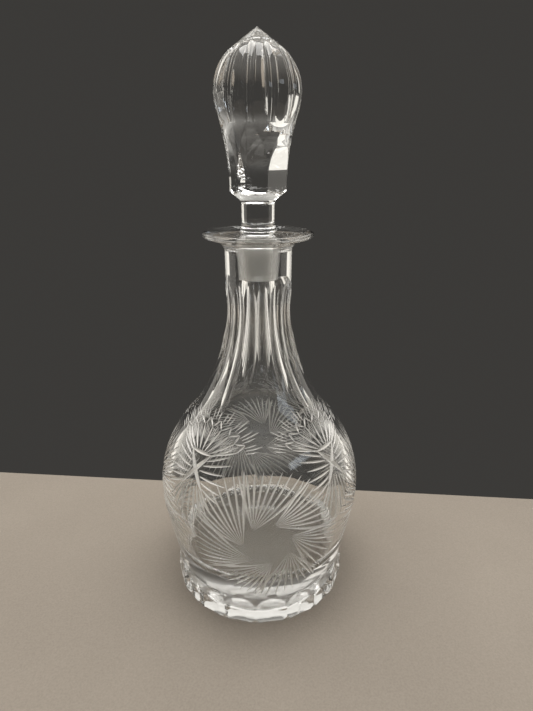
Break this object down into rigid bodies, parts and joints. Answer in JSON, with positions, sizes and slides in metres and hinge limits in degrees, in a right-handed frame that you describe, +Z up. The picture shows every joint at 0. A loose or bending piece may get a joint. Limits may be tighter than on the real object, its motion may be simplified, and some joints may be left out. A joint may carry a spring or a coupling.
{
  "type": "decanter",
  "caption": "Cut crystal decanter with a round body on a thick scalloped foot, a long fluted neck, a flared lip and a pointed lift-off stopper.",
  "frame": {"origin": "centre of the foot, on the surface the decanter stands on", "axes": "+Z up the axis of the decanter, -Y towards the side with the front pinwheel"},
  "size_m": [0.1286, 0.1286, 0.33],
  "materials": {
    "cut_crystal": "clear polished lead crystal with wheel-cut decoration; fine-ground inside the mouth",
    "stopper_crystal": "clear polished solid lead crystal; fine-ground on the plug"
  },
  "bodies": {
    "decanter_body": {"decanter_body": "cut_crystal"},
    "stopper": {"stopper": "stopper_crystal"}
  },
  "joints": [
    {"name": "stopper_lift", "type": "slide", "parent": "decanter_body", "child": "stopper", "axis": [0, 0, 1], "range_m": [0, 0.06]}
  ]
}
